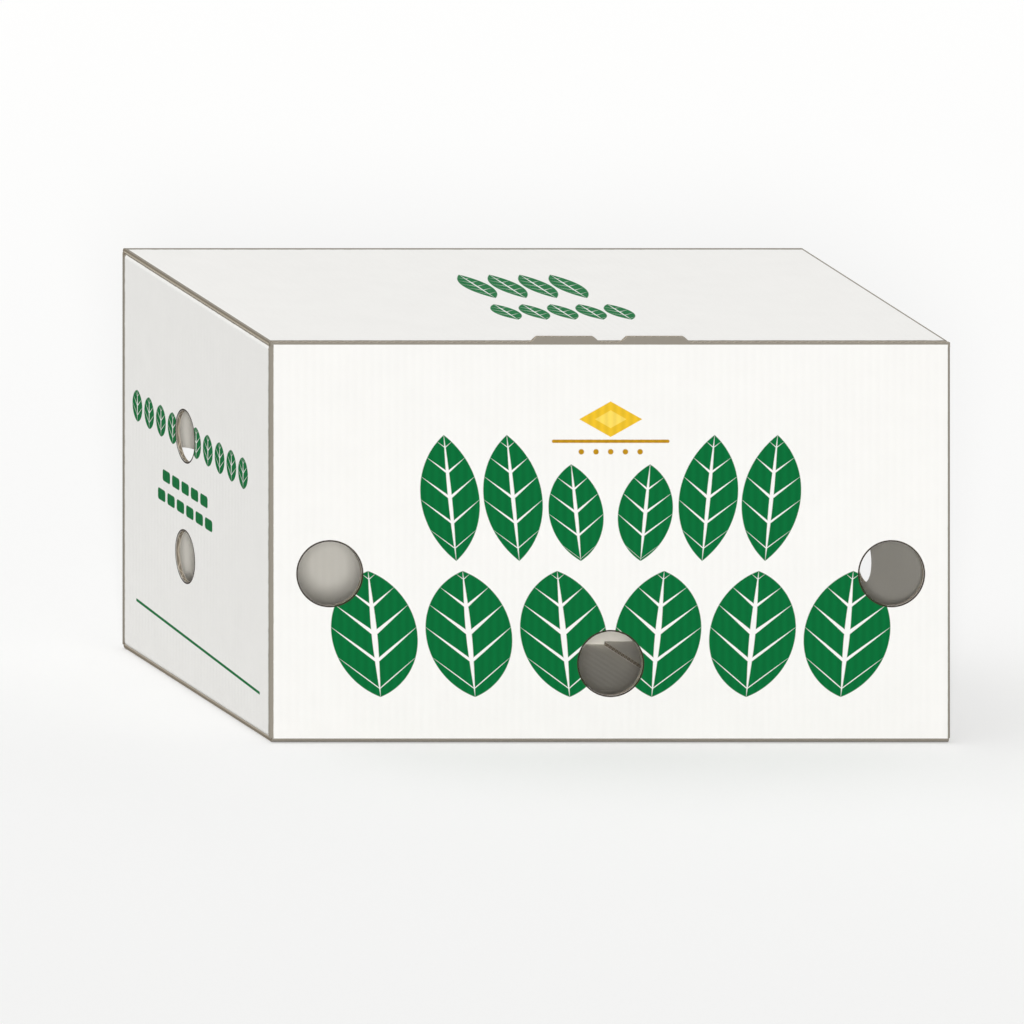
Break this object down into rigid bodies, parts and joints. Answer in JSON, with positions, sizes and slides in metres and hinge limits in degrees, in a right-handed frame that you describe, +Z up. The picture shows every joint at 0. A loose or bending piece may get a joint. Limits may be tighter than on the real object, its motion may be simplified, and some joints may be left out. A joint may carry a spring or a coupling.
{
  "type": "cube box",
  "caption": "White corrugated shipping carton with a hinged tuck-in lid, round vent holes in its walls and low stacking tabs on the front rim.",
  "frame": {"origin": "middle of the carton's footprint, on the floor it stands on", "axes": "+Z up; +X along the long front wall, toward its right end as seen from the front; +Y from the front wall with the tabs toward the rear wall that carries the lid"},
  "size_m": [0.6484, 0.381, 0.3865],
  "materials": {
    "white_board": "matte"
  },
  "bodies": {
    "carton": {"carton_body": "white_board"},
    "lid": {"lid": "white_board"}
  },
  "joints": [
    {"name": "lid_fold", "type": "hinge", "parent": "carton", "child": "lid", "pos_m": [0, 0.1905, 0.377], "axis": [-1, 0, 0], "range_deg": [0, 180]}
  ]
}
